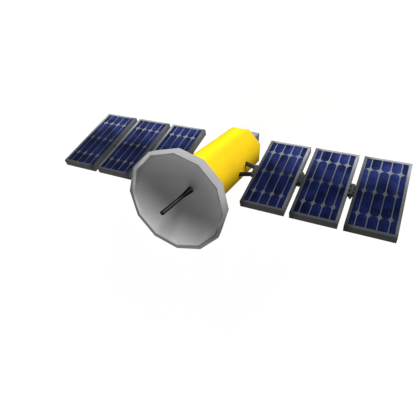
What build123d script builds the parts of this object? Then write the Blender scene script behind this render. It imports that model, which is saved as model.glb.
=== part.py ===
"""Communications satellite standing on its aft box, dish up.

An eight-sided bus carries a twelve-sided dish with a feed mast at the top and a square box at
the bottom. On each side an array drive turns a wing about X: a V-shaped yoke and three framed
solar panels in a row, joined by pin hinges so that the wing folds like an accordion.
+Z is the launch axis, X runs along the wings, and the solar cells face -Y and a little up.
"""

import os
from math import cos, pi, radians, sin

from build123d import *

# Bus: an eight-sided prism with a closed deck at each end
bus_flats = 1010.0
bus_length = 2350.0
bus_edge_radius = 60.0
deck_thickness = 30.0

# Aft box that the satellite stands on, with the launch bolt circle under it
box_width = 720.0
box_height = 300.0
box_edge = 12.0
bolt_circle = 600.0
bolt_hole_radius = 6.5
bolt_hole_depth = 40.0
bolt_count = 8

# Dish: twelve straight sides, a lofted bowl with a steep lip, and a deep hoop round its edge
dish_sides = 12
dish_radius = 1000.0
rim_width = 80.0
rim_slope = 30.0
lip_width = 55.0
lip_depth = 95.0
dish_depth = 560.0
bowl_shares = (1.0, 0.83, 0.61, 0.37, 0.13)
shell_land = 20.0
shell_edge = 60.0
shell_thickness = 28.0
hoop_depth = 200.0
hoop_taper = 40.0
dish_lift = 72.0
mount_foot_radius = 400.0
mount_top_radius = 300.0
mount_wall = 30.0
mount_flange_radius = 440.0
mount_flange = 16.0

# Feed on the dish axis
feed_base_radius = 66.0
feed_base_height = 280.0
feed_radius = 37.0
feed_step = 2.0
feed_length = 1000.0
feed_tip_radius = 41.0
feed_tip_height = 70.0
feed_tip_round = 16.0

# Array drive on each side, sunk in a round recess in the bus wall
wing_axis_above_deck = 1058.0
wing_tilt = 20.9
drive_proud = 5.0
drive_gap = 5.0
drive_plate = 14.0
drive_arm_radius = 34.0
drive_hub_radius = 88.0
shaft_radius = 60.0
shaft_depth = 160.0

# Yoke: two round struts that lean together towards the root hinge
strut_radius = 46.0
strut_foot_spread = 175.0
strut_head_spread = 97.0
root_hinge_x = 773.0

# Solar panels
panel_count = 3
panel_width = 885.0
panel_length = 1898.0
panel_depth = 158.0
panel_gap = 104.0
rail_width = 55.0
rail_chamfer = 5.0
front_recess = 8.0
back_recess = 14.0
stiffener_width = 46.0
stiffener_height = 10.0

# Solar cells: whole ones inside, cut ones along the frame
cell_pitch_across = 186.0
cell_pitch_along = 585.0
cell_gap_across = 20.0
cell_gap_along = 8.0
cell_edge_margin = 4.0
cell_corner_radius = 82.0
cell_thickness = 3.0

# Hinges between the panels
hinge_length = 284.0
hinge_knuckles = 5
knuckle_gap = 2.0
knuckle_radius = 46.0
boss_radius = 17.0
pin_radius = 9.0
pin_head_radius = 15.0
pin_head = 6.0
fold_clearance = 6.0

# Root hinge: two wide knuckles on the yoke and one on the first panel
root_hinge_length = 300.0
root_knuckle_width = 88.0

# Clearances
seat_gap = 0.3
running_fit = 0.06

# Worked-out places
bus_bottom = box_height
bus_top = bus_bottom + bus_length
rim_top = bus_top + dish_lift + shell_thickness + dish_depth
half_flats = bus_flats / 2
bus_corner_radius = half_flats / cos(pi / 8)
wing_axis_z = bus_bottom + wing_axis_above_deck
drive_face = half_flats + drive_proud
recess_depth = drive_plate + drive_gap - drive_proud
recess_radius = strut_foot_spread + drive_arm_radius + drive_gap
dish_opening = dish_radius - rim_width
bowl_edge = dish_opening - lip_width
first_panel_x = root_hinge_x + panel_gap / 2
panel_pitch = panel_width + panel_gap
opening_width = panel_width - 2 * rail_width
opening_length = panel_length - 2 * rail_width
pin_offset = (panel_depth + fold_clearance) / 2
tilt = radians(wing_tilt)

# The wing lies in this plane: x outboard, y up along the panels, z out of the cells
wing_plane = Plane(
    origin=(0, 0, wing_axis_z),
    x_dir=(1, 0, 0),
    z_dir=(0, -cos(tilt), sin(tilt)),
)
wing_up = wing_plane.y_dir
wing_front = wing_plane.z_dir

os.makedirs("parts", exist_ok=True)


def bowl_depth(radius):
    """Depth of the reflecting surface under the rim: a paraboloid below the steep lip."""
    return lip_depth + (dish_depth - lip_depth) * (1 - (radius / bowl_edge) ** 2)


def across_wing(along):
    """A plane square to the hinge pins, at a height along the panels: x outboard, y to the cells."""
    return Plane(
        origin=wing_plane.from_local_coords((0, along, 0)),
        x_dir=(1, 0, 0),
        z_dir=-wing_up,
    )


def save(piece, name):
    """Label a finished piece and write it to its own file."""
    piece.part.label = name
    export_step(piece.part, f"parts/{name}.step")


# Bus, between its two decks, with a round recess and a blind bearing bore for each drive
with BuildPart() as bus_body:
    with BuildSketch(Plane.XY.offset(bus_bottom + deck_thickness)):
        RegularPolygon(bus_corner_radius, 8, rotation=22.5)
    extrude(amount=bus_length - 2 * deck_thickness)
    fillet(bus_body.edges().filter_by(Axis.Z), bus_edge_radius)
    for side in (-1, 1):
        wall = Plane(origin=(side * half_flats, 0, wing_axis_z), z_dir=(side, 0, 0))
        with BuildSketch(wall):
            Circle(recess_radius)
        extrude(amount=-recess_depth, mode=Mode.SUBTRACT)
        with BuildSketch(wall):
            Circle(shaft_radius + running_fit)
        extrude(amount=-(recess_depth + drive_gap + shaft_depth), mode=Mode.SUBTRACT)
save(bus_body, "bus_body")

# Decks: octagonal plates that close the ends of the bus
for name, level in (("aft_deck", bus_bottom), ("forward_deck", bus_top - deck_thickness)):
    with BuildPart() as deck:
        with BuildSketch(Plane.XY.offset(level)):
            RegularPolygon(bus_corner_radius, 8, rotation=22.5)
        extrude(amount=deck_thickness)
        fillet(deck.edges().filter_by(Axis.Z), bus_edge_radius)
    save(deck, name)

# Aft box, with the launch bolt circle drilled up into its underside
with BuildPart() as aft_box:
    with BuildSketch(Plane.XY):
        Rectangle(box_width, box_width)
    extrude(amount=box_height)
    chamfer(aft_box.edges().filter_by(Axis.Z), box_edge)
    with BuildSketch(Plane.XY):
        with PolarLocations(bolt_circle / 2, bolt_count):
            Circle(bolt_hole_radius)
    extrude(amount=bolt_hole_depth, mode=Mode.SUBTRACT)
save(aft_box, "aft_box")

# Radii of the twelve-sided rings that the bowl is lofted through, from its edge to the hub
bowl_rings = [bowl_edge * share for share in bowl_shares]

# The back of the bowl as a solid: an upright edge, then rings a wall's thickness under the front
with BuildPart() as bowl_back:
    for level in (rim_top, rim_top - shell_edge):
        with BuildSketch(Plane.XY.offset(level)):
            RegularPolygon(dish_opening + shell_land, dish_sides)
    for radius in bowl_rings:
        with BuildSketch(Plane.XY.offset(rim_top - bowl_depth(radius) - shell_thickness)):
            RegularPolygon(radius, dish_sides)
    loft(ruled=True)

# Reflector: that solid with the front of the bowl lofted out of it
with BuildPart() as dish_reflector:
    add(bowl_back.part)
    with BuildSketch(Plane.XY.offset(rim_top)):
        RegularPolygon(dish_opening, dish_sides)
    for radius in bowl_rings:
        with BuildSketch(Plane.XY.offset(rim_top - bowl_depth(radius))):
            RegularPolygon(radius, dish_sides)
    loft(ruled=True, mode=Mode.SUBTRACT)
save(dish_reflector, "dish_reflector")

# Hoop: the sloping front edge of the dish and the slanting wall behind it
with BuildPart() as dish_hoop:
    with BuildSketch(Plane.XY.offset(rim_top)):
        RegularPolygon(dish_opening + shell_land, dish_sides)
    with BuildSketch(Plane.XY.offset(rim_top - rim_slope)):
        RegularPolygon(dish_radius, dish_sides)
    with BuildSketch(Plane.XY.offset(rim_top - hoop_depth)):
        RegularPolygon(dish_radius - hoop_taper, dish_sides)
    loft(ruled=True)
    with BuildSketch(Plane.XY.offset(rim_top)):
        RegularPolygon(dish_opening + shell_land + seat_gap, dish_sides)
    extrude(amount=-hoop_depth, mode=Mode.SUBTRACT)
save(dish_hoop, "dish_hoop")

# Mount: a conical collar on the forward deck, cut to the back of the bowl
with BuildPart() as dish_mount:
    with BuildSketch(Plane.XZ):
        with BuildLine():
            Polyline(
                (mount_foot_radius - mount_wall, bus_top),
                (mount_flange_radius, bus_top),
                (mount_flange_radius, bus_top + mount_flange),
                (mount_foot_radius, bus_top + mount_flange),
                (mount_top_radius, rim_top - hoop_depth),
                (mount_top_radius - mount_wall, rim_top - hoop_depth),
                close=True,
            )
        make_face()
    revolve(axis=Axis.Z)
    add(bowl_back.part.translate((0, 0, -seat_gap)), mode=Mode.SUBTRACT)
save(dish_mount, "dish_mount")

# Feed: a flared base on the hub of the dish, a straight mast and a rounded tip
hub_z = rim_top - bowl_depth(bowl_rings[-1])
with BuildPart() as feed_base:
    with BuildSketch(Plane.XZ):
        with BuildLine():
            Polyline(
                (0, hub_z),
                (feed_base_radius, hub_z),
                (feed_radius + feed_step, hub_z + feed_base_height),
                (0, hub_z + feed_base_height),
                close=True,
            )
        make_face()
    revolve(axis=Axis.Z)
save(feed_base, "feed_base")

with BuildPart() as feed_mast:
    with BuildSketch(Plane.XY.offset(hub_z + feed_base_height)):
        Circle(feed_radius)
    extrude(amount=feed_length - feed_base_height - feed_tip_height)
save(feed_mast, "feed_mast")

with BuildPart() as feed_tip:
    with BuildSketch(Plane.XY.offset(hub_z + feed_length - feed_tip_height)):
        Circle(feed_tip_radius)
    extrude(amount=feed_tip_height)
    fillet(feed_tip.edges().group_by(Axis.Z)[-1], feed_tip_round)
save(feed_tip, "feed_tip")

# Knuckle tables: start and end of each knuckle along the pin, counted down from the top
knuckle_width = (hinge_length - (hinge_knuckles - 1) * knuckle_gap) / hinge_knuckles
knuckle_step = knuckle_width + knuckle_gap
panel_knuckles = [
    (hinge_length / 2 - i * knuckle_step, hinge_length / 2 - i * knuckle_step - knuckle_width)
    for i in range(hinge_knuckles)
]
root_inner = root_knuckle_width / 2 + knuckle_gap
root_knuckles = [
    (root_hinge_length / 2, root_inner),
    (root_knuckle_width / 2, -root_knuckle_width / 2),
    (-root_inner, -root_hinge_length / 2),
]

for side, tag in ((1, "right"), (-1, "left")):
    # Output of the array drive: a long plate for the strut feet, on a shaft in the bus
    drive_plane = Plane(
        origin=(side * drive_face, 0, wing_axis_z),
        x_dir=wing_up,
        z_dir=(side, 0, 0),
    )
    with BuildPart() as array_drive:
        with BuildSketch(drive_plane):
            SlotCenterToCenter(2 * strut_foot_spread, 2 * drive_arm_radius)
            Circle(drive_hub_radius)
        extrude(amount=-drive_plate)
        with BuildSketch(drive_plane):
            Circle(shaft_radius)
        extrude(amount=-(drive_plate + drive_gap + shaft_depth))
    save(array_drive, f"array_drive_{tag}")

    # Yoke head: the knuckles that the struts run into, on one hinge pin
    with BuildPart() as yoke_head:
        for top, bottom in (root_knuckles[0], root_knuckles[2]):
            with BuildSketch(across_wing(top)):
                with Locations((side * root_hinge_x, 0)):
                    Circle(knuckle_radius)
            extrude(amount=top - bottom)
        with BuildSketch(across_wing(root_hinge_length / 2 + pin_head)):
            with Locations((side * root_hinge_x, 0)):
                Circle(pin_radius)
        extrude(amount=root_hinge_length + 2 * pin_head)
        for top in (root_hinge_length / 2 + pin_head, -root_hinge_length / 2):
            with BuildSketch(across_wing(top)):
                with Locations((side * root_hinge_x, 0)):
                    Circle(pin_head_radius)
            extrude(amount=pin_head)
    save(yoke_head, f"yoke_head_{tag}")

    # Struts, from the drive plate to the knuckles, trimmed where they meet both
    with BuildPart() as yoke_struts:
        for end in (1, -1):
            foot = Vector(side * drive_face, end * strut_foot_spread, 0)
            head = Vector(side * root_hinge_x, end * strut_head_spread, 0)
            along = (head - foot).normalized()
            start = wing_plane.from_local_coords(foot - along * strut_radius)
            finish = wing_plane.from_local_coords(head)
            with BuildSketch(Plane(origin=start, z_dir=(finish - start))):
                Circle(strut_radius)
            extrude(amount=(finish - start).length)
        with BuildSketch(drive_plane):
            Circle(2 * strut_foot_spread)
        extrude(amount=-2 * strut_radius, mode=Mode.SUBTRACT)
        with BuildSketch(across_wing(root_hinge_length)):
            with Locations((side * root_hinge_x, 0)):
                Circle(knuckle_radius + seat_gap)
        extrude(amount=2 * root_hinge_length, mode=Mode.SUBTRACT)
    save(yoke_struts, f"yoke_struts_{tag}")

    for number in range(1, panel_count + 1):
        panel_x = side * (first_panel_x + panel_width / 2 + (number - 1) * panel_pitch)
        name = f"{tag}_{number}"

        # Frame: four deep rails round the cells
        with BuildPart() as frame:
            with BuildSketch(wing_plane.offset(-panel_depth / 2)):
                with Locations((panel_x, 0)):
                    Rectangle(panel_width, panel_length)
                    Rectangle(opening_width, opening_length, mode=Mode.SUBTRACT)
            extrude(amount=panel_depth)
            front_face = frame.faces().sort_by(Axis((0, 0, 0), wing_front))[-1]
            back_face = frame.faces().sort_by(Axis((0, 0, 0), wing_front))[0]
            chamfer(front_face.outer_wire().edges() + back_face.outer_wire().edges(), rail_chamfer)
        save(frame, f"panel_frame_{name}")

        # Board: the sandwich panel in the frame, with flat stiffeners on its back
        with BuildPart() as board:
            with BuildSketch(wing_plane.offset(-panel_depth / 2 + back_recess)):
                with Locations((panel_x, 0)):
                    Rectangle(opening_width - 2 * seat_gap, opening_length - 2 * seat_gap)
            extrude(amount=panel_depth - back_recess - front_recess)
            with BuildSketch(wing_plane.offset(-panel_depth / 2 + back_recess)):
                with Locations((panel_x, 0)):
                    with GridLocations(cell_pitch_across * 2, 0, 2, 1):
                        Rectangle(stiffener_width, opening_length - 2 * seat_gap)
                    with GridLocations(0, cell_pitch_along, 1, 3):
                        Rectangle(opening_width - 2 * seat_gap, stiffener_width)
            extrude(amount=-stiffener_height)
        save(board, f"panel_board_{name}")

        # Cells: thin tiles with rounded corners where four of them meet
        with BuildPart() as cells:
            with BuildSketch(wing_plane.offset(panel_depth / 2 - front_recess)) as layout:
                with Locations((panel_x, 0)):
                    Rectangle(opening_width - 2 * cell_edge_margin, opening_length - 2 * cell_edge_margin)
                    with GridLocations(cell_pitch_across, 0, 4, 1):
                        Rectangle(cell_gap_across, opening_length, mode=Mode.SUBTRACT)
                    with GridLocations(0, cell_pitch_along, 1, 3):
                        Rectangle(opening_width, cell_gap_along, mode=Mode.SUBTRACT)
                inner_corners = layout.vertices().filter_by(
                    lambda corner: abs(corner.X - panel_x) < opening_width / 2 - cell_corner_radius
                    and abs(corner.Y) < opening_length / 2 - cell_corner_radius
                )
                fillet(inner_corners, cell_corner_radius)
            extrude(amount=cell_thickness)
        save(cells, f"panel_cells_{name}")

        # Hinge lugs: the inner hinge's bored knuckles, and the outer hinge's knuckles with its pin
        inner_x = panel_x - side * (panel_width + panel_gap) / 2
        outer_x = panel_x + side * (panel_width + panel_gap) / 2
        inner_offset = 0.0 if number == 1 else pin_offset * (1 if number == 2 else -1)
        outer_offset = pin_offset * (1 if number == 1 else -1)
        inner_knuckles = root_knuckles[1:2] if number == 1 else panel_knuckles[1::2]
        with BuildPart() as lugs:
            for top, bottom in inner_knuckles:
                with BuildSketch(across_wing(top)):
                    with Locations((inner_x, 0)):
                        Circle(knuckle_radius)
                    if inner_offset:
                        with Locations((inner_x, inner_offset)):
                            Circle(boss_radius)
                        make_hull()
                    with Locations((inner_x + side * panel_gap / 4, 0)):
                        Rectangle(panel_gap / 2, 2 * knuckle_radius)
                    with Locations((inner_x, inner_offset)):
                        Circle(pin_radius + running_fit, mode=Mode.SUBTRACT)
                extrude(amount=top - bottom)
            if number < panel_count:
                for top, bottom in panel_knuckles[0::2]:
                    with BuildSketch(across_wing(top)):
                        with Locations((outer_x, 0)):
                            Circle(knuckle_radius)
                        with Locations((outer_x, outer_offset)):
                            Circle(boss_radius)
                        make_hull()
                        with Locations((outer_x - side * panel_gap / 4, 0)):
                            Rectangle(panel_gap / 2, 2 * knuckle_radius)
                    extrude(amount=top - bottom)
                with BuildSketch(across_wing(hinge_length / 2 + pin_head)):
                    with Locations((outer_x, outer_offset)):
                        Circle(pin_radius)
                extrude(amount=hinge_length + 2 * pin_head)
                for top in (hinge_length / 2 + pin_head, -hinge_length / 2):
                    with BuildSketch(across_wing(top)):
                        with Locations((outer_x, outer_offset)):
                            Circle(pin_head_radius)
                    extrude(amount=pin_head)
        save(lugs, f"hinge_lugs_{name}")
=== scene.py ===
"""Looks of a communications satellite that stands on its aft box with its dish up.

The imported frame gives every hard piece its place. This file dresses it: it swaps the bus and the
dish for smooth shells of the same size, adds the small fasteners, gives each piece its finish and
sets up the stage. +Z is the launch axis, X runs along the wings and the solar cells face -Y.
"""
import math

import bpy
import numpy as np
from mathutils import Matrix, Vector


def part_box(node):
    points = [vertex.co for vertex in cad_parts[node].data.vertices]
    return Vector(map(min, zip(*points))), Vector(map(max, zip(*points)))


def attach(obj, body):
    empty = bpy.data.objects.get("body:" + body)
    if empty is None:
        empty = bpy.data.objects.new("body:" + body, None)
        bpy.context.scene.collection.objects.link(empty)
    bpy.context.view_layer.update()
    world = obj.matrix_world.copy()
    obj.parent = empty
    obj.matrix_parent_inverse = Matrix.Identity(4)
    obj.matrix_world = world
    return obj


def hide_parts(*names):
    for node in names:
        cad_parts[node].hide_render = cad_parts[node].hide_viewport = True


bl_info = {
    "name": "Satellite dressing",
    "version": (1, 0, 0),
    "blender": (4, 5, 0),
    "location": "3D View > Sidebar > Satellite",
    "description": "Shells, finishes and a studio stage for a satellite with folding solar wings",
    "category": "Object",
}

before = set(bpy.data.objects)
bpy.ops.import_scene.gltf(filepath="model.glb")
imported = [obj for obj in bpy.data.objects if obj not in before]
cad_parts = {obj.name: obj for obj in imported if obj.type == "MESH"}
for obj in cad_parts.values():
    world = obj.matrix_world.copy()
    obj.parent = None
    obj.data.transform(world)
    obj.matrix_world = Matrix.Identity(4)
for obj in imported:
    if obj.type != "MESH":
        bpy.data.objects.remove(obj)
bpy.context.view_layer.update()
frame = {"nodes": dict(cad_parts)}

SIDES = ("right", "left")
PANELS = (1, 2, 3)
BUS_LOW, BUS_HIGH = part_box("bus_body")
BUS_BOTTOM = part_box("aft_deck")[0].z
BUS_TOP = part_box("forward_deck")[1].z
RIM_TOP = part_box("dish_hoop")[1].z
HOOP_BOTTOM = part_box("dish_hoop")[0].z

BUS_SIDES = 8
DISH_SIDES = 12
BOLT_SIDES = 6
BOWL_RINGS = 12

# Bevel at the two ends of the blanket, gap between the edge of the bowl and the rim, thickness of
# the flange at the foot of the dish's collar, and how deep the foot of a bolt head is sunk
BUS_EDGE = 0.004
SEAM = 0.0004
MOUNT_FLANGE = 0.016
BOLT_SINK = 0.001

# Places of the bolts round a drive hub, in degrees from the back of the wing towards the dish
DRIVE_BOLT_ANGLES = (9.0, 39.0, 99.0, 129.0, 189.0, 219.0, 279.0, 309.0)

# Which way the rolled rim and the top of the lip face, as (outward, up)
RIM_LEAN = (1.0, 0.4)
LIP_LEAN = (-1.0, 0.0)

# Painted light and shade along a panel, as (place, tone) pairs from its low end to its high end:
# pale painted light at the low end, painted shade towards the high end, for the frame, the frame's
# inboard side, the board and the cells
FRAME_PAINTED_SHADING = (
    (0.0, 0.86), (0.15, 1.0), (0.3, 0.55), (0.42, 0.38), (0.6, 0.24), (0.72, 0.22), (0.85, 0.27),
    (0.95, 0.22), (0.975, 0.15), (0.995, 0.14),
)
SIDE_PAINTED_SHADING = ((0.0, 0.49), (0.3, 0.42), (0.5, 0.25), (0.7, 0.2), (0.9, 0.27), (1.0, 0.27))
BOARD_PAINTED_SHADING = (
    (0.0, 1.0), (0.2, 1.0), (0.3, 0.62), (0.4, 0.43), (0.5, 0.29), (0.6, 0.23), (0.7, 0.26),
    (0.8, 0.34), (1.0, 0.3),
)
CELL_PAINTED_SHADING = (
    (0.0, 1.0), (0.1, 1.0), (0.25, 0.85), (0.35, 0.6), (0.43, 0.34), (0.58, 0.0), (0.66, 0.08),
    (0.75, 0.12), (0.9, 0.08),
)

# Painted shade across a panel's frame, from its inboard edge to its outboard edge: darker along
# the inboard rail
RAIL_PAINTED_SHADE = (
    (0.0, 0.52), (0.002, 0.52), (0.005, 0.33), (0.06, 0.36), (0.2, 1.0), (0.99, 1.0), (0.999, 0.6),
)

# How strong the trim's painted shade and the lip's painted highlight are at the edge of the bowl,
# as (share of the dish radius, value) pairs
PAINTED_EDGE_BAND = ((0.905, 0.0), (0.916, 0.7))

# Painted light and shade round the dish from the left wing by way of the cells' side, as (share of
# a turn, value) pairs: how dark the trim's painted shade is, how pale the lip's painted highlight
# is, and the painted shading of the rim's paint
TRIM_PAINTED_SHADE = (
    (0.0, 0.6), (0.05, 1.0), (0.24, 1.0), (0.29, 0.6), (0.4, 0.6), (0.44, 0.12), (0.83, 0.12),
    (0.9, 0.4), (1.0, 0.6),
)
LIP_PAINTED_HIGHLIGHT = (
    (0.0, 0.0), (0.33, 0.0), (0.375, 0.4), (0.41, 0.35), (0.45, 1.0), (0.47, 0.9), (0.5, 0.15),
    (0.53, 0.5), (0.55, 0.5), (0.58, 0.15), (0.63, 0.05), (0.67, 0.0), (0.93, 0.0), (0.958, 0.35),
    (0.985, 0.0), (1.0, 0.0),
)
RIM_PAINTED_SHADING = (
    (0.0, 0.62), (0.05, 0.82), (0.12, 0.71), (0.2, 0.71), (0.292, 0.85), (0.36, 1.0), (0.43, 0.95),
    (0.458, 0.85), (0.5, 0.48), (0.542, 0.38), (0.6, 0.45), (0.667, 0.52), (0.71, 0.5),
    (0.75, 0.68), (0.84, 0.9), (0.875, 1.0), (0.917, 1.0), (0.958, 0.58), (1.0, 0.62),
)

# Shares of the dish radius between which the lip's painted highlight fades out over the rim, and
# how much stronger it is on the edge of the bowl
LIP_HIGHLIGHT_BAND = (0.937, 0.978)
LIP_HIGHLIGHT_ON_BOWL = 2.5

# Where the painted highlight turns the blanket lemon, in radians: the middle of the band, from the
# cells' side towards the right wing, and how far from it the painted highlight starts and ends to
# turn into gold
PAINTED_HIGHLIGHT_MIDDLE = 0.1
PAINTED_HIGHLIGHT_TURN = (0.12, 0.55)

# The feed: its strips of painted highlight, the height over which the painted light on its foot
# fades to the tone of the mast, how many times paler that painted light makes the foot, and how
# far under the top its end starts to darken and is dark
FEED_HIGHLIGHT_STRIPS = 4.0
BASE_FADE = 0.28
BASE_PAINTED_LIGHT = 3.6
TIP_DARK = (0.012, 0.004)

# How far the wings lean back from upright, and the tone of the boards' backs
WING_TILT = math.radians(20.9)
BACK_TONE = (0.6, 0.6, 0.6)

# Layout of the cells: a panel is 885 mm wide with a column every 186 mm and four rows along it,
# and the two bars of a cell lie this far from its middle, as shares of a column
CELL_COLUMNS = 885.0 / 186.0
CELL_ROWS = 4.0
BAR_PLACE = 0.2
BAR_HALF_WIDTH = 0.005

# Lamps, as (name, way towards the lamp, strength, width in degrees), and how far off they hang
LAMPS = (
    ("key_lamp", (-0.36, -0.92, 0.14), 3.9, 24.0),
    ("fill_lamp", (0.30, 0.58, 0.76), 0.85, 60.0),
    ("back_lamp", (0.50, 0.85, 0.14), 0.7, 40.0),
)
LAMP_REACH = 12.0

# The floor's half width, its own tone and the glow that makes it white to the camera, and how
# strongly the white surround lights the object
FLOOR_REACH = 150.0
FLOOR_TONE = (0.25, 0.25, 0.25, 1.0)
FLOOR_GLOW = 0.9
SURROUND_LIGHT = 0.12
WHITE = (1.0, 1.0, 1.0, 1.0)

# The camera: where it stands, where it looks, which way is up, its film and lens in mm, and how
# far it sees
CAMERA_PLACE = (-3.2673, -3.3557, 8.5913)
CAMERA_AHEAD = (0.3810, 0.4935, -0.7818)
CAMERA_UP = (0.2257, -0.8697, -0.4390)
CAMERA_FILM = 36.0
CAMERA_LENS = 33.68
CAMERA_SIGHT = 400.0


# Sizes and colours that a user would change


class SatelliteSizes(bpy.types.PropertyGroup):
    """Sizes of the pieces that this file adds or replaces."""

    bus_flats: bpy.props.FloatProperty(
        name="Bus width", description="Distance across two opposite flats of the bus",
        default=BUS_HIGH.x - BUS_LOW.x, min=0.1, unit="LENGTH",
    )
    dish_radius: bpy.props.FloatProperty(
        name="Dish radius", description="Corner radius of the hoop's front edge",
        default=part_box("dish_hoop")[1].y, min=0.1, unit="LENGTH",
    )
    dish_opening: bpy.props.FloatProperty(
        name="Dish opening", description="Corner radius of the bowl at its edge",
        default=0.92, min=0.1, unit="LENGTH",
    )
    dish_depth: bpy.props.FloatProperty(
        name="Dish depth", description="Depth of the bowl under the rim",
        default=0.56, min=0.05, unit="LENGTH",
    )
    hoop_taper: bpy.props.FloatProperty(
        name="Hoop taper", description="How far the back of the hoop's wall is drawn in",
        default=0.04, min=0.0, unit="LENGTH",
    )
    lip_width: bpy.props.FloatProperty(
        name="Lip width", description="Width of the steep lip round the bowl, seen from the front",
        default=0.055, min=0.0, unit="LENGTH",
    )
    lip_depth: bpy.props.FloatProperty(
        name="Lip depth", description="Depth of the foot of the lip under the rim",
        default=0.095, min=0.0, unit="LENGTH",
    )
    dish_wall: bpy.props.FloatProperty(
        name="Dish wall", description="Thickness of the bowl, measured along the dish axis",
        default=0.028, min=0.001, unit="LENGTH",
    )
    dish_hub: bpy.props.FloatProperty(
        name="Dish hub", description="Corner radius of the flat at the bottom of the bowl",
        default=0.112, min=0.01, unit="LENGTH",
    )
    dish_land: bpy.props.FloatProperty(
        name="Dish land", description="Width of the bowl's own flat edge inside the rim",
        default=0.02, min=0.001, unit="LENGTH",
    )
    dish_edge: bpy.props.FloatProperty(
        name="Dish edge", description="Height of the bowl's upright edge behind the rim",
        default=0.06, min=0.001, unit="LENGTH",
    )
    rim_slope: bpy.props.FloatProperty(
        name="Rim slope", description="How far the rim's front edge slopes back on its way out",
        default=0.006, min=0.0, unit="LENGTH",
    )
    mount_circle: bpy.props.FloatProperty(
        name="Collar bolt circle", description="Radius of the circle of bolts on the dish collar",
        default=0.42, min=0.05, unit="LENGTH",
    )
    mount_bolts: bpy.props.IntProperty(
        name="Collar bolts", description="Number of bolts on the dish collar", default=24, min=3,
    )
    bolt_radius: bpy.props.FloatProperty(
        name="Bolt head", description="Radius of the bolt heads on the drives and the dish collar",
        default=0.008, min=0.001, unit="LENGTH",
    )
    bolt_height: bpy.props.FloatProperty(
        name="Bolt head height", description="Height of the bolt heads", default=0.004,
        min=0.001, unit="LENGTH",
    )
    bolt_reach: bpy.props.FloatProperty(
        name="Drive bolt circle", description="Radius of the circle of bolts on each drive hub",
        default=0.074, min=0.01, unit="LENGTH",
    )


class SatelliteColours(bpy.types.PropertyGroup):
    """Colours of the finishes, as linear values."""

    foil: bpy.props.FloatVectorProperty(
        name="Bus", description="Yellow of the bus blanket", subtype="COLOR", size=3,
        default=(0.93, 0.61, 0.016), min=0.0, max=1.0,
    )
    # Lemon yellow of the painted highlight on the blanket
    foil_highlight: bpy.props.FloatVectorProperty(
        name="Bus, cell side", description="Lemon yellow of the blanket on the cells' side",
        subtype="COLOR", size=3, default=(0.95, 0.86, 0.016), min=0.0, max=1.0,
    )
    dish: bpy.props.FloatVectorProperty(
        name="Dish", description="Grey paint of the dish's bowl", subtype="COLOR", size=3,
        default=(0.42, 0.42, 0.42), min=0.0, max=1.0,
    )
    hoop: bpy.props.FloatVectorProperty(
        name="Hoop", description="Grey paint of the dish's rim where it is palest",
        subtype="COLOR", size=3, default=(0.56, 0.56, 0.56), min=0.0, max=1.0,
    )
    frame: bpy.props.FloatVectorProperty(
        name="Panel frames", description="Panel frame paint where it is palest", subtype="COLOR",
        size=3, default=(0.40, 0.415, 0.435), min=0.0, max=1.0,
    )
    board: bpy.props.FloatVectorProperty(
        name="Panel boards", description="Board paint where it is palest", subtype="COLOR",
        size=3, default=(0.24, 0.26, 0.30), min=0.0, max=1.0,
    )
    # Blue of the cells lifted by painted light at the low end
    cell_painted_lit: bpy.props.FloatVectorProperty(
        name="Cells, low end", description="Solar cell blue near the low end", subtype="COLOR",
        size=3, default=(0.018, 0.027, 0.115), min=0.0, max=1.0,
    )
    # Blue of the cells deepened by painted shade towards the high end
    cell_painted_shade: bpy.props.FloatVectorProperty(
        name="Cells, high end", description="Solar cell blue where it is deepest", subtype="COLOR",
        size=3, default=(0.0022, 0.0050, 0.030), min=0.0, max=1.0,
    )
    cell_bar: bpy.props.FloatVectorProperty(
        name="Cell bars", description="Thin bars along the solar cells", subtype="COLOR",
        size=3, default=(0.022, 0.028, 0.064), min=0.0, max=1.0,
    )
    feed: bpy.props.FloatVectorProperty(
        name="Feed", description="Near-black of the feed mast", subtype="COLOR", size=3,
        default=(0.045, 0.045, 0.045), min=0.0, max=1.0,
    )
    box: bpy.props.FloatVectorProperty(
        name="Aft box", description="Grey paint of the aft box", subtype="COLOR", size=3,
        default=(0.29, 0.32, 0.33), min=0.0, max=1.0,
    )
    strut: bpy.props.FloatVectorProperty(
        name="Yoke", description="Near-black paint of the yoke struts", subtype="COLOR", size=3,
        default=(0.032, 0.030, 0.030), min=0.0, max=1.0,
    )
    hinge: bpy.props.FloatVectorProperty(
        name="Hinges", description="Dark grey of the hinge knuckles", subtype="COLOR", size=3,
        default=(0.112, 0.124, 0.124), min=0.0, max=1.0,
    )


# Meshes


def sizes():
    """The user's sizes of this scene."""
    return bpy.context.scene.satellite_sizes


def colours():
    """The user's colours of this scene."""
    return bpy.context.scene.satellite_colours


def polygon_rings(profile, count, turn=0.0):
    """Points of a many-sided turned form: each (radius, height) of the profile becomes a ring of
    `count` corners, at the angles turn + 360/count times 0, 1, 2 and so on, in degrees."""
    radius, height = np.array(profile, float).T
    angle = np.radians(turn + np.arange(count) * 360.0 / count)
    x = radius[:, None] * np.cos(angle)[None, :]
    y = radius[:, None] * np.sin(angle)[None, :]
    z = np.repeat(height[:, None], count, axis=1)
    return np.stack([x, y, z], axis=-1)


def ring_faces(rows, count):
    """Quads between neighbouring rings, wound so that a profile that rises up the outside of the
    form has its faces pointing outwards."""
    row, col = np.meshgrid(np.arange(rows - 1), np.arange(count), indexing="ij")
    nxt = (col + 1) % count
    quads = np.stack(
        [row * count + col, row * count + nxt, (row + 1) * count + nxt, (row + 1) * count + col],
        axis=-1,
    )
    return quads.reshape(-1, 4)


def end_faces(rows, count):
    """The two many-sided faces that close the first and the last ring, facing outwards."""
    ring = np.arange(count)
    return [ring[::-1].tolist(), (ring + (rows - 1) * count).tolist()]


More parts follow.
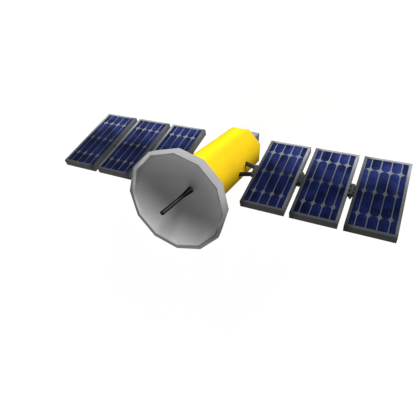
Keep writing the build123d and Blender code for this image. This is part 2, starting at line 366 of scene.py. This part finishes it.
def mesh_piece(name, points, faces, body, material, smooth=True):
    """A finished mesh object at the origin, on its body, in its material slot. `faces` is a list
    of index lists; they may have any number of corners."""
    mesh = bpy.data.meshes.new(name)
    mesh.from_pydata(points.reshape(-1, 3).tolist(), [], faces)
    mesh.validate()
    mesh.polygons.foreach_set("use_smooth", np.full(len(mesh.polygons), smooth))
    mesh.materials.append(material)
    mesh.update()
    piece = bpy.data.objects.new(name, mesh)
    bpy.context.scene.collection.objects.link(piece)
    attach(piece, body)
    return piece


def roll_shading(piece, count, leans):
    """Shades bands of a turned form as if their edges were rolled. `leans` says for a band and one
    of its two rows how the corners there face, as (outward, up); others keep their own shading."""
    mesh = piece.data
    corners = np.array([corner.vector[:] for corner in mesh.corner_normals])
    verts = np.zeros(len(mesh.loops), np.int32)
    mesh.loops.foreach_get("vertex_index", verts)
    totals = np.zeros(len(mesh.polygons), np.int32)
    mesh.polygons.foreach_get("loop_total", totals)
    bands = np.repeat(np.arange(len(totals)), totals) // count
    turn = verts % count * 2 * math.pi / count
    for (band, row), (outward, up) in leans.items():
        hit = (bands == band) & (verts // count == row)
        corners[hit, 0] = outward * np.cos(turn[hit])
        corners[hit, 1] = outward * np.sin(turn[hit])
        corners[hit, 2] = up
    mesh.normals_split_custom_set(corners.tolist())


def crease_rings(piece, count, rows):
    """Marks the ring edges of these rows as sharp, so that shading doesn't run across them."""
    mesh = piece.data
    ends = np.zeros(len(mesh.edges) * 2, np.int32)
    mesh.edges.foreach_get("vertices", ends)
    ends = ends.reshape(-1, 2)
    row = ends // count
    sharp = (row[:, 0] == row[:, 1]) & np.isin(row[:, 0], rows)
    layer = mesh.attributes.get("sharp_edge")
    if layer is None:
        layer = mesh.attributes.new("sharp_edge", "BOOLEAN", "EDGE")
    layer.data.foreach_set("value", sharp)
    mesh.update()


def turned_points(profile, centre, axis, count):
    """A closed turned form round an axis through a point: rings at each (radius, distance along
    the axis) of the profile."""
    rings = polygon_rings(profile, count)
    to_axis = Vector(axis).normalized().to_track_quat("Z", "Y").to_matrix()
    return rings.reshape(-1, 3) @ np.array(to_axis).T + np.array(centre, float)


def bolts(name, centres, axis, body, material):
    """Six-sided bolt heads with a chamfered top, one at each centre, as a single mesh: each is a
    short hexagonal prism whose top ring is drawn in, closed at both ends. Its foot is sunk a
    little."""
    radius, height = sizes().bolt_radius, sizes().bolt_height
    profile = [(radius, -BOLT_SINK), (radius, height * 0.75), (radius * 0.82, height)]
    rows = len(profile)
    points, faces = [], []
    for index, centre in enumerate(centres):
        start = index * rows * BOLT_SIDES
        points.append(turned_points(profile, centre, axis, BOLT_SIDES))
        faces += (ring_faces(rows, BOLT_SIDES) + start).tolist()
        faces += [[start + corner for corner in face] for face in end_faces(rows, BOLT_SIDES)]
    return mesh_piece(name, np.concatenate(points), faces, body, material, smooth=False)


def wear(finish, *names):
    """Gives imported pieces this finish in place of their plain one."""
    for name in names:
        materials = frame["nodes"][name].data.materials
        materials.clear()
        materials.append(finish)


# Finishes


def node(tree, kind, **inputs):
    """A shader node of this kind; keyword values go to the inputs of that name, with underscores
    for spaces."""
    made = tree.nodes.new(kind)
    for key, value in inputs.items():
        made.inputs[key.replace("_", " ")].default_value = value
    return made


def new_material(name, roughness, ior):
    """(material, node tree, Principled node, Object coordinate output) of an empty finish. The
    low index of refraction keeps the white surround from washing out dark paint; 1.0 is matt."""
    material = bpy.data.materials.new(name)
    material.use_nodes = True
    tree = material.node_tree
    shader = tree.nodes["Principled BSDF"]
    shader.inputs["Roughness"].default_value = roughness
    shader.inputs["IOR"].default_value = ior
    shader.inputs["Specular IOR Level"].default_value = 0.5 if ior > 1.0 else 0.0
    return material, tree, shader, tree.nodes.new("ShaderNodeTexCoord").outputs["Object"]


def noise(tree, place, scale, detail, roughness=0.5, stretch=(1.0, 1.0, 1.0)):
    """Noise from 0 to 1 on Object coordinates, stretched by a Mapping node."""
    mapping = node(tree, "ShaderNodeMapping", Scale=stretch)
    tree.links.new(place, mapping.inputs["Vector"])
    made = node(tree, "ShaderNodeTexNoise", Scale=scale, Detail=detail, Roughness=roughness)
    tree.links.new(mapping.outputs["Vector"], made.inputs["Vector"])
    return made.outputs["Fac"]


def split(tree, place):
    """The X, Y and Z of a place, as three outputs."""
    parts = tree.nodes.new("ShaderNodeSeparateXYZ")
    tree.links.new(place, parts.inputs["Vector"])
    return parts.outputs["X"], parts.outputs["Y"], parts.outputs["Z"]


def flat(tree, x, y):
    """A vector of two outputs, with 0 for its Z."""
    made = tree.nodes.new("ShaderNodeCombineXYZ")
    tree.links.new(x, made.inputs["X"])
    tree.links.new(y, made.inputs["Y"])
    return made.outputs["Vector"]


def spread(tree, value, low, high, new_low, new_high):
    """Moves a value from one range to another, with its ends held."""
    made = node(tree, "ShaderNodeMapRange", From_Min=low, From_Max=high, To_Min=new_low,
                To_Max=new_high)
    tree.links.new(value, made.inputs["Value"])
    return made.outputs["Result"]


def mix(tree, share, first, second):
    """Colour between two colours or colour outputs by a share output from 0 to 1. A Mix node has
    its colours in sockets 6 and 7 and gives the result in 2."""
    made = tree.nodes.new("ShaderNodeMix")
    made.data_type = "RGBA"
    tree.links.new(share, made.inputs[0])
    for socket, value in ((made.inputs[6], first), (made.inputs[7], second)):
        if isinstance(value, bpy.types.NodeSocket):
            tree.links.new(value, socket)
        else:
            socket.default_value = (*value, 1.0)
    return made.outputs[2]


def scaled(tree, colour, value):
    """Colour times a value output, for a change in tone."""
    made = tree.nodes.new("ShaderNodeVectorMath")
    made.operation = "SCALE"
    if isinstance(colour, bpy.types.NodeSocket):
        tree.links.new(colour, made.inputs[0])
    else:
        made.inputs[0].default_value = tuple(colour)
    tree.links.new(value, made.inputs["Scale"])
    return made.outputs["Vector"]


def bump(tree, shader, height, strength, distance):
    """Relief on the shader's normal."""
    made = node(tree, "ShaderNodeBump", Strength=strength, Distance=distance)
    tree.links.new(height, made.inputs["Height"])
    tree.links.new(made.outputs["Normal"], shader.inputs["Normal"])


def calc(tree, operation, first, second=0.0):
    """One step of arithmetic on values or outputs."""
    made = tree.nodes.new("ShaderNodeMath")
    made.operation = operation
    for socket, value in zip(made.inputs, (first, second)):
        if isinstance(value, bpy.types.NodeSocket):
            tree.links.new(value, socket)
        else:
            socket.default_value = value
    return made.outputs["Value"]


def curve(tree, value, stops):
    """A value that follows straight lines between stops, given as (place, value) pairs."""
    made = tree.nodes.new("ShaderNodeValToRGB")
    points = made.color_ramp.elements
    for index, (at, level) in enumerate(stops):
        point = points[index] if index < 2 else points.new(at)
        point.position = at
        point.color = (level, level, level, 1.0)
    tree.links.new(value, made.inputs["Fac"])
    return made.outputs["Color"]


def mottle(tree, place, scale, swing, detail=4.0, roughness=0.5, stretch=(1.0, 1.0, 1.0)):
    """A cloudy change of tone round 1, by up to the swing either way."""
    cloud = noise(tree, place, scale, detail, roughness, stretch)
    return spread(tree, cloud, 0.3, 0.7, 1.0 - swing, 1.0 + swing)


def coat(tree, shader, place, colour, shade, grain=160.0):
    """Sprayed paint: the colour times its shade, with a fine orange-peel relief."""
    tree.links.new(scaled(tree, colour, shade), shader.inputs["Base Color"])
    bump(tree, shader, noise(tree, place, grain, 2.0), 0.05, 0.001)


def panel_place(tree, place):
    """Where a point lies on its panel: across runs from 0 at the inboard edge to 1 at the outboard
    edge, and along from 0 at the low end to 1 at the high end."""
    low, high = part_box("panel_frame_right_1")
    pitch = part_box("panel_frame_right_2")[0].x - low.x
    margin = (pitch - (high.x - low.x)) / 2
    x, _, z = split(tree, place)
    outboard = calc(tree, "SUBTRACT", calc(tree, "ABSOLUTE", x), low.x - margin)
    share = calc(tree, "FRACT", calc(tree, "DIVIDE", outboard, pitch))
    inside = calc(tree, "MULTIPLY", share, pitch)
    across = spread(tree, inside, margin, pitch - margin, 0.0, 1.0)
    along = spread(tree, z, low.z, high.z, 0.0, 1.0)
    return across, along


def cell_column(tree, across):
    """Which column of cells a point lies in, with its place inside that column as the fraction;
    the columns are centred on the panel."""
    columns = calc(tree, "MULTIPLY", across, CELL_COLUMNS)
    return calc(tree, "ADD", columns, 0.5 - CELL_COLUMNS / 2)


def dish_place(tree, place):
    """Where a point lies on the dish: around runs from 0 to 1, from the left wing by way of the
    cells' side, and out is its distance from the axis as a share of the way to the edge."""
    x, y, _ = split(tree, place)
    turn = calc(tree, "ARCTAN2", y, x)
    around = spread(tree, turn, -math.pi, math.pi, 0.0, 1.0)
    length = tree.nodes.new("ShaderNodeVectorMath")
    length.operation = "LENGTH"
    tree.links.new(flat(tree, x, y), length.inputs[0])
    side = 2 * math.pi / DISH_SIDES
    inside = calc(tree, "FRACT", calc(tree, "DIVIDE", turn, side))
    off = calc(tree, "MULTIPLY", calc(tree, "SUBTRACT", inside, 0.5), side)
    reach = calc(tree, "MULTIPLY", length.outputs["Value"], calc(tree, "COSINE", off))
    return around, calc(tree, "DIVIDE", reach, math.cos(side / 2) * sizes().dish_radius)


def foil_finish():
    """Yellow blanket: gold with a lemon painted highlight round the side of the cells, with slow
    changes of tone and faint creases."""
    material, tree, shader, place = new_material("bus_blanket", 0.5, 1.03)
    x, y, _ = split(tree, place)
    turn = calc(tree, "ARCTAN2", x, calc(tree, "MULTIPLY", y, -1.0))
    turn = calc(tree, "ABSOLUTE", calc(tree, "SUBTRACT", turn, PAINTED_HIGHLIGHT_MIDDLE))
    # Painted highlight: the gold turns lemon round the cells' side
    lemon = spread(tree, turn, PAINTED_HIGHLIGHT_TURN[0], PAINTED_HIGHLIGHT_TURN[1], 1.0, 0.0)
    hue = mix(tree, lemon, colours().foil, colours().foil_highlight)
    tone = mottle(tree, place, 2.6, 0.04)
    tree.links.new(scaled(tree, hue, tone), shader.inputs["Base Color"])
    creases = noise(tree, place, 7.0, 3.0, 0.45, (1.0, 1.0, 0.6))
    bump(tree, shader, creases, 0.10, 0.02)
    return material


def bolt_finish():
    """Grey paint of the bolts on the dish's collar, with a slight change of tone."""
    material, tree, shader, place = new_material("bolt_paint", 0.4, 1.12)
    coat(tree, shader, place, colours().box, mottle(tree, place, 20.0, 0.08))
    return material


def rim_finish():
    """Grey paint of the rim and its wall, with painted light and shade round the dish: palest
    towards the right wing on the cells' side, with a painted highlight on the inner edge towards
    the right wing."""
    material, tree, shader, place = new_material("rim_paint", 0.6, 1.0)
    around, out = dish_place(tree, place)
    # Painted highlight on the lip, fading out over the rim
    pale = spread(tree, out, LIP_HIGHLIGHT_BAND[0], LIP_HIGHLIGHT_BAND[1], 1.0, 0.0)
    lip = calc(tree, "MULTIPLY", curve(tree, around, LIP_PAINTED_HIGHLIGHT), pale)
    # Painted shading round the rim, plus the lip's painted highlight
    tone = calc(tree, "ADD", curve(tree, around, RIM_PAINTED_SHADING), lip)
    shade = calc(tree, "MULTIPLY", tone, mottle(tree, place, 3.0, 0.03))
    coat(tree, shader, place, colours().hoop, shade)
    return material


def bowl_finish():
    """Grey paint of the bowl, with a trim of painted shade round its twelve-sided edge that is
    dark on the cells' side, and a painted highlight there that is pale towards the right wing."""
    material, tree, shader, place = new_material("dish_paint", 0.6, 1.0)
    around, out = dish_place(tree, place)
    # Painted highlight on the bowl's edge less the trim's painted shade, in the band at the edge
    pale = calc(tree, "MULTIPLY", curve(tree, around, LIP_PAINTED_HIGHLIGHT), LIP_HIGHLIGHT_ON_BOWL)
    change = calc(tree, "SUBTRACT", pale, curve(tree, around, TRIM_PAINTED_SHADE))
    trim = calc(tree, "MULTIPLY", curve(tree, out, PAINTED_EDGE_BAND), change)
    tone = calc(tree, "ADD", trim, 1.0)
    shade = calc(tree, "MULTIPLY", tone, mottle(tree, place, 3.0, 0.03))
    coat(tree, shader, place, colours().dish, shade)
    return material


def box_finish():
    """Grey paint of the aft box, with painted shade on the two sides that face along the wings."""
    material, tree, shader, place = new_material("box_paint", 0.5, 1.12)
    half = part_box("aft_box")[1].x
    beside = calc(tree, "ABSOLUTE", split(tree, place)[0])
    # Painted shade on the two sides that face along the wings
    side = spread(tree, beside, half - 0.003, half - 0.001, 1.0, 0.6)
    shade = calc(tree, "MULTIPLY", side, mottle(tree, place, 4.0, 0.08))
    coat(tree, shader, place, colours().box, shade)
    return material


def feed_finish():
    """Near-black feed with four strips of painted highlight along it between flanks of painted
    shade, painted light on its foot and a dark end."""
    material, tree, shader, place = new_material("feed_black", 0.4, 1.1)
    x, y, z = split(tree, place)
    # Painted highlights in strips along the mast, with painted shade on the flanks between them
    turn = calc(tree, "MULTIPLY", calc(tree, "ARCTAN2", y, x), FEED_HIGHLIGHT_STRIPS)
    wave = calc(tree, "COSINE", calc(tree, "SUBTRACT", turn, math.pi))
    painted_highlight_strips = spread(tree, wave, -0.2, 0.9, 0.12, 1.6)
    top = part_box("feed_tip")[1].z
    end = spread(tree, z, top - TIP_DARK[0], top - TIP_DARK[1], 1.0, 0.05)
    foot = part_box("feed_base")[0].z
    # Painted light on the foot, where the bowl's shade falls
    pale = spread(tree, z, foot, foot + BASE_FADE, BASE_PAINTED_LIGHT, 1.0)
    shade = calc(tree, "MULTIPLY", painted_highlight_strips, end)
    shade = calc(tree, "MULTIPLY", shade, mottle(tree, place, 12.0, 0.1))
    coat(tree, shader, place, colours().feed, calc(tree, "MULTIPLY", shade, pale))
    return material


def strut_finish():
    """Near-black struts, with painted shade that darkens the higher of the two on each side, so
    that the lower one is paler.
    """
    material, tree, shader, place = new_material("strut_paint", 0.4, 1.1)
    low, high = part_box("yoke_struts_right")
    # Painted shade, deepest towards the top and lifted towards the bottom
    level = spread(tree, split(tree, place)[2], low.z + 0.12, high.z - 0.12, 1.3, 0.35)
    shade = calc(tree, "MULTIPLY", level, mottle(tree, place, 14.0, 0.12))
    coat(tree, shader, place, colours().strut, shade)
    return material


def hinge_finish():
    """Dark metal of the hinge barrels, with painted light that makes it paler at the low end."""
    material, tree, shader, place = new_material("hinge_paint", 0.4, 1.1)
    along = panel_place(tree, place)[1]
    # Painted light at the low end and painted shade towards the high end
    level = spread(tree, along, 0.42, 0.58, 0.6, 0.3)
    shade = calc(tree, "MULTIPLY", level, mottle(tree, place, 30.0, 0.15))
    coat(tree, shader, place, colours().hinge, shade)
    return material


def frame_finish():
    """Frame paint: pale with painted light at the low end, with painted shade towards the high end
    and along the inboard rail, and with rubbed streaks along the rails."""
    material, tree, shader, place = new_material("frame_paint", 0.5, 1.12)
    across, along = panel_place(tree, place)
    # Painted light and shade along the panel, times painted shade across it
    face = calc(tree, "MULTIPLY", curve(tree, along, FRAME_PAINTED_SHADING), curve(tree, across, RAIL_PAINTED_SHADE))
    inboard = spread(tree, across, 0.001, 0.003, 1.0, 0.0)
    # The inboard side face takes its own painted shade along the panel
    paint = mix(tree, inboard, face, curve(tree, along, SIDE_PAINTED_SHADING))
    rub = mottle(tree, place, 9.0, 0.08, 5.0, 0.6, (1.0, 1.0, 0.25))
    coat(tree, shader, place, colours().frame, calc(tree, "MULTIPLY", paint, rub), 120.0)
    return material


def board_finish():
    """Board between and behind the cells: painted shade that darkens it towards the high end,
    darker between the columns of cells, plain on its back, with a fine weave."""
    material, tree, shader, place = new_material("board_paint", 0.5, 1.1)
    across, along = panel_place(tree, place)
    inside = calc(tree, "FRACT", cell_column(tree, across))
    off = calc(tree, "ABSOLUTE", calc(tree, "SUBTRACT", inside, 0.5))
    gap = spread(tree, off, 0.3, 0.36, 0.4, 1.0)
    gap = mix(tree, spread(tree, along, 0.2, 0.35, 0.0, 1.0), (1.0, 1.0, 1.0), gap)
    # Painted light and shade along the panel, times the pattern between the cells
    face = calc(tree, "MULTIPLY", curve(tree, along, BOARD_PAINTED_SHADING), gap)
    _, y, z = split(tree, place)
    low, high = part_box("panel_frame_right_1")
    up = calc(tree, "SUBTRACT", z, (low.z + high.z) / 2)
    ahead = calc(tree, "MULTIPLY", y, -math.cos(WING_TILT))
    out = calc(tree, "ADD", ahead, calc(tree, "MULTIPLY", up, math.sin(WING_TILT)))
    paint = mix(tree, spread(tree, out, -0.02, 0.0, 1.0, 0.0), face, BACK_TONE)
    shade = calc(tree, "MULTIPLY", paint, mottle(tree, place, 6.0, 0.07, 3.0))
    tree.links.new(scaled(tree, colours().board, shade), shader.inputs["Base Color"])
    bump(tree, shader, noise(tree, place, 260.0, 1.0, 0.3), 0.08, 0.001)
    return material


def cell_finish():
    """Solar cells: blue that painted light makes paler at the low end and painted shade makes deep
    towards the high end, that changes from cell to cell and within each cell, under two thin
    bright bars a cell."""
    material, tree, shader, place = new_material("solar_cells", 0.3, 1.08)
    across, along = panel_place(tree, place)
    # Painted light and shade along the panel, as a blend of a lit blue and a shaded blue
    blue = mix(tree, curve(tree, along, CELL_PAINTED_SHADING), colours().cell_painted_shade, colours().cell_painted_lit)
    cloud = spread(tree, noise(tree, place, 3.1, 2.5, 0.55), 0.34, 0.66, 0.45, 1.55)
    column = cell_column(tree, across)
    row = calc(tree, "MULTIPLY", along, CELL_ROWS)
    chance = tree.nodes.new("ShaderNodeTexWhiteNoise")
    chance.noise_dimensions = "2D"
    which = flat(tree, calc(tree, "FLOOR", column), calc(tree, "FLOOR", row))
    tree.links.new(which, chance.inputs["Vector"])
    each = spread(tree, chance.outputs["Value"], 0.0, 1.0, 0.85, 1.15)
    inside = calc(tree, "FRACT", column)
    sweep = spread(tree, inside, 0.1, 0.9, 0.8, 1.2)
    shade = calc(tree, "MULTIPLY", calc(tree, "MULTIPLY", cloud, each), sweep)
    off = calc(tree, "ABSOLUTE", calc(tree, "SUBTRACT", inside, 0.5))
    bar = calc(tree, "COMPARE", off, BAR_PLACE)
    bar.node.inputs[2].default_value = BAR_HALF_WIDTH
    colour = mix(tree, bar, scaled(tree, blue, shade), colours().cell_bar)
    tree.links.new(colour, shader.inputs["Base Color"])
    return material


def seen_directly(tree, otherwise, directly):
    """One value for what the camera, a reflection or a clear surface sees, and another for the
    light that falls on the object."""
    path = tree.nodes.new("ShaderNodeLightPath")
    value = path.outputs["Is Camera Ray"]
    for name in ("Is Glossy Ray", "Is Transmission Ray"):
        value = calc(tree, "MAXIMUM", value, path.outputs[name])
    return spread(tree, value, 0.0, 1.0, otherwise, directly)


def floor_finish():
    """Pale matt floor that the camera sees as white, with the object's shadow left on it."""
    material = bpy.data.materials.new("floor_paint")
    material.use_nodes = True
    tree = material.node_tree
    shader = tree.nodes["Principled BSDF"]
    shader.inputs["Base Color"].default_value = FLOOR_TONE
    shader.inputs["Roughness"].default_value = 0.9
    shader.inputs["Specular IOR Level"].default_value = 0.0
    shader.inputs["Emission Color"].default_value = WHITE
    tree.links.new(seen_directly(tree, 0.0, FLOOR_GLOW), shader.inputs["Emission Strength"])
    return material


# One operator for each piece or group of like pieces


class SATELLITE_OT_bus(bpy.types.Operator):
    """Build the smooth blanket over the eight-sided bus and its decks"""

    bl_idname = "satellite.bus"
    bl_label = "Bus blanket"

    def execute(self, context):
        """Side wall of eight flats between two flat ends. Each ring is an octagon; shading runs
        smoothly round the flats and stops at the two end edges. The dish's collar and the drives
        wear the same blanket, with a circle of bolts on each drive hub."""
        corner = sizes().bus_flats / 2 / math.cos(math.pi / BUS_SIDES)
        profile = [
            (corner - BUS_EDGE, BUS_BOTTOM), (corner, BUS_BOTTOM + BUS_EDGE),
            (corner, BUS_TOP - BUS_EDGE), (corner - BUS_EDGE, BUS_TOP),
        ]
        rows = len(profile)
        points = polygon_rings(profile, BUS_SIDES, 180.0 / BUS_SIDES)
        faces = ring_faces(rows, BUS_SIDES).tolist() + end_faces(rows, BUS_SIDES)
        finish = foil_finish()
        blanket = mesh_piece("bus_blanket", points, faces, "satellite_bus", finish)
        crease_rings(blanket, BUS_SIDES, range(rows))
        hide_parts("bus_body", "aft_deck", "forward_deck")
        wear(finish, "dish_mount", "array_drive_right", "array_drive_left")
        angle = np.radians(DRIVE_BOLT_ANGLES)
        for side in SIDES:
            sign = 1 if side == "right" else -1
            low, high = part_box(f"array_drive_{side}")
            places = np.stack([
                np.full(len(angle), high.x if sign > 0 else low.x),
                (low.y + high.y) / 2 + sizes().bolt_reach * np.cos(angle),
                (low.z + high.z) / 2 + sizes().bolt_reach * np.sin(angle),
            ], axis=-1)
            bolts(f"drive_bolts_{side}", places, (sign, 0, 0), f"yoke_{side}", finish)
        return {"FINISHED"}


class SATELLITE_OT_dish(bpy.types.Operator):
    """Build the twelve-sided dish: bowl, hoop and their back"""

    bl_idname = "satellite.dish"
    bl_label = "Dish"

    def execute(self, context):
        """Shell: a steep lip, then rings on a paraboloid, depth = lip depth + (full depth - lip
        depth) times (1 - (r / edge) squared); its back is the same line lowered by the wall. Rim:
        a front edge that falls a little on its way out and a slanting wall, shaded as one rolled
        edge. Bolts: one ring round the foot of the collar."""
        s = sizes()
        edge = s.dish_opening - s.lip_width
        radii = np.linspace(s.dish_hub, edge, BOWL_RINGS)
        depth = s.lip_depth + (s.dish_depth - s.lip_depth) * (1 - (radii / edge) ** 2)
        front = list(zip(radii, RIM_TOP - depth)) + [(s.dish_opening, RIM_TOP)]
        land = s.dish_opening + s.dish_land
        back = [(land, RIM_TOP), (land, RIM_TOP - s.dish_edge)]
        back += [(r, z - s.dish_wall) for r, z in front[-2::-1]]
        profile = (front + back)[::-1]
        rows, lip = len(profile), len(back)
        points = polygon_rings(profile, DISH_SIDES)
        faces = ring_faces(rows, DISH_SIDES).tolist() + end_faces(rows, DISH_SIDES)
        shell = mesh_piece("dish_shell", points, faces, "satellite_bus",
                           bowl_finish())
        # The bowl's own flat edge lies between rows lip - 1 and lip, its upright edge before it
        crease_rings(shell, DISH_SIDES, [lip - 3, lip - 2])
        roll_shading(shell, DISH_SIDES, {(lip - 1, lip - 1): RIM_LEAN, (lip - 1, lip): RIM_LEAN,
                                         (lip, lip): LIP_LEAN})
        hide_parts("dish_reflector")

        inner = land + SEAM
        hoop = [
            (s.dish_radius - s.hoop_taper, HOOP_BOTTOM), (s.dish_radius, RIM_TOP - s.rim_slope),
            (inner, RIM_TOP - SEAM), (inner, HOOP_BOTTOM),
        ]
        rows = len(hoop)
        points = polygon_rings(hoop, DISH_SIDES)
        faces = ring_faces(rows, DISH_SIDES).tolist()
        first = np.arange(DISH_SIDES)
        last = first + (rows - 1) * DISH_SIDES
        underside = np.stack([last, np.roll(last, -1), np.roll(first, -1), first], axis=-1)
        faces += underside.tolist()
        ring = mesh_piece("dish_rim", points, faces, "satellite_bus", rim_finish())
        crease_rings(ring, DISH_SIDES, [0, rows - 1])
        roll_shading(ring, DISH_SIDES, {(0, 1): RIM_LEAN, (1, 1): RIM_LEAN, (1, 2): RIM_LEAN})
        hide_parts("dish_hoop")

        angle = np.radians(np.arange(s.mount_bolts) * 360.0 / s.mount_bolts)
        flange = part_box("dish_mount")[0].z + MOUNT_FLANGE
        centres = np.stack([
            s.mount_circle * np.cos(angle), s.mount_circle * np.sin(angle),
            np.full(len(angle), flange),
        ], axis=-1)
        bolts("mount_bolts", centres, (0, 0, 1), "satellite_bus", bolt_finish())
        return {"FINISHED"}


class SATELLITE_OT_feed(bpy.types.Operator):
    """Finish the feed mast, its flared base and its tip"""

    bl_idname = "satellite.feed"
    bl_label = "Feed"

    def execute(self, context):
        """Near-black strips on the mast, its base and its tip."""
        wear(feed_finish(), "feed_base", "feed_mast", "feed_tip")
        return {"FINISHED"}


class SATELLITE_OT_box(bpy.types.Operator):
    """Finish the square box that the satellite stands on"""

    bl_idname = "satellite.box"
    bl_label = "Aft box"

    def execute(self, context):
        """Grey paint, with painted shade on the two sides that face along the wings."""
        wear(box_finish(), "aft_box")
        return {"FINISHED"}


class SATELLITE_OT_yokes(bpy.types.Operator):
    """Finish the yokes and hinges"""

    bl_idname = "satellite.yokes"
    bl_label = "Yokes and hinges"

    def execute(self, context):
        """Near-black struts and dark knuckles."""
        strut, knuckle = strut_finish(), hinge_finish()
        for side in SIDES:
            wear(strut, f"yoke_struts_{side}")
            wear(knuckle, f"yoke_head_{side}", *[f"hinge_lugs_{side}_{n}" for n in PANELS])
        return {"FINISHED"}


class SATELLITE_OT_panels(bpy.types.Operator):
    """Finish the panel frames, boards and solar cells"""

    bl_idname = "satellite.panels"
    bl_label = "Solar panels"

    def execute(self, context):
        """Painted frames, boards that show between the cells, and blue cells."""
        finishes = (("frame", frame_finish()), ("board", board_finish()), ("cells", cell_finish()))
        for kind, finish in finishes:
            wear(finish, *[f"panel_{kind}_{side}_{n}" for side in SIDES for n in PANELS])
        return {"FINISHED"}


class SATELLITE_OT_stage(bpy.types.Operator):
    """Set up the floor, the lamps, the world and the camera"""

    bl_idname = "satellite.stage"
    bl_label = "Stage"

    def execute(self, context):
        """A pale floor and a white surround, a soft key lamp from the cells' side, two weaker
        ones from above and behind, and a camera above and in front of the left wing."""
        scene = context.scene
        scene.view_settings.view_transform = "Standard"

        floor_mesh = bpy.data.meshes.new("floor")
        signs = ((-1, -1), (1, -1), (1, 1), (-1, 1))
        corners = [(x * FLOOR_REACH, y * FLOOR_REACH, 0.0) for x, y in signs]
        floor_mesh.from_pydata(corners, [], [(0, 1, 2, 3)])
        floor = bpy.data.objects.new("floor", floor_mesh)
        scene.collection.objects.link(floor)
        floor_mesh.materials.append(floor_finish())

        for name, toward, strength, width in LAMPS:
            lamp = bpy.data.lights.new(name, "SUN")
            lamp.energy = strength
            lamp.angle = math.radians(width)
            holder = bpy.data.objects.new(name, lamp)
            holder.rotation_euler = Vector(toward).to_track_quat("Z", "Y").to_euler()
            holder.location = Vector(toward) * LAMP_REACH
            scene.collection.objects.link(holder)

        world = bpy.data.worlds.new("surround")
        scene.world = world
        world.use_nodes = True
        tree = world.node_tree
        background = tree.nodes["Background"]
        background.inputs["Color"].default_value = WHITE
        strength = seen_directly(tree, SURROUND_LIGHT, 1.0)
        tree.links.new(strength, background.inputs["Strength"])

        camera_data = bpy.data.cameras.new("camera")
        camera_data.sensor_width = CAMERA_FILM
        camera_data.lens = CAMERA_LENS
        camera_data.clip_end = CAMERA_SIGHT
        camera = bpy.data.objects.new("camera", camera_data)
        ahead = Vector(CAMERA_AHEAD).normalized()
        right = ahead.cross(Vector(CAMERA_UP)).normalized()
        place = Matrix((right, right.cross(ahead), -ahead)).transposed().to_4x4()
        place.translation = Vector(CAMERA_PLACE)
        camera.matrix_world = place
        scene.collection.objects.link(camera)
        scene.camera = camera
        return {"FINISHED"}


STEPS = (
    SATELLITE_OT_bus,
    SATELLITE_OT_dish,
    SATELLITE_OT_feed,
    SATELLITE_OT_box,
    SATELLITE_OT_yokes,
    SATELLITE_OT_panels,
    SATELLITE_OT_stage,
)


class SATELLITE_PT_sidebar(bpy.types.Panel):
    """Lists the satellite's sizes, colours and building steps"""

    bl_idname = "SATELLITE_PT_sidebar"
    bl_label = "Satellite"
    bl_space_type = "VIEW_3D"
    bl_region_type = "UI"
    bl_category = "Satellite"

    def draw(self, context):
        """Sizes and colours first, then one button for each step."""
        for group in (context.scene.satellite_sizes, context.scene.satellite_colours):
            column = self.layout.column()
            for key in group.__annotations__:
                column.prop(group, key)
        column = self.layout.column()
        for step in STEPS:
            column.operator(step.bl_idname)


CLASSES = (SatelliteSizes, SatelliteColours, *STEPS, SATELLITE_PT_sidebar)


def register():
    """Adds the classes, and the sizes and colours to the scene."""
    for item in CLASSES:
        bpy.utils.register_class(item)
    bpy.types.Scene.satellite_sizes = bpy.props.PointerProperty(type=SatelliteSizes)
    bpy.types.Scene.satellite_colours = bpy.props.PointerProperty(type=SatelliteColours)


def unregister():
    """Takes them away again."""
    del bpy.types.Scene.satellite_colours
    del bpy.types.Scene.satellite_sizes
    for item in reversed(CLASSES):
        bpy.utils.unregister_class(item)


def main():
    """Builds every piece in order."""
    register()
    bpy.ops.satellite.bus()
    bpy.ops.satellite.dish()
    bpy.ops.satellite.feed()
    bpy.ops.satellite.box()
    bpy.ops.satellite.yokes()
    bpy.ops.satellite.panels()
    bpy.ops.satellite.stage()


if __name__ == "__main__":
    main()
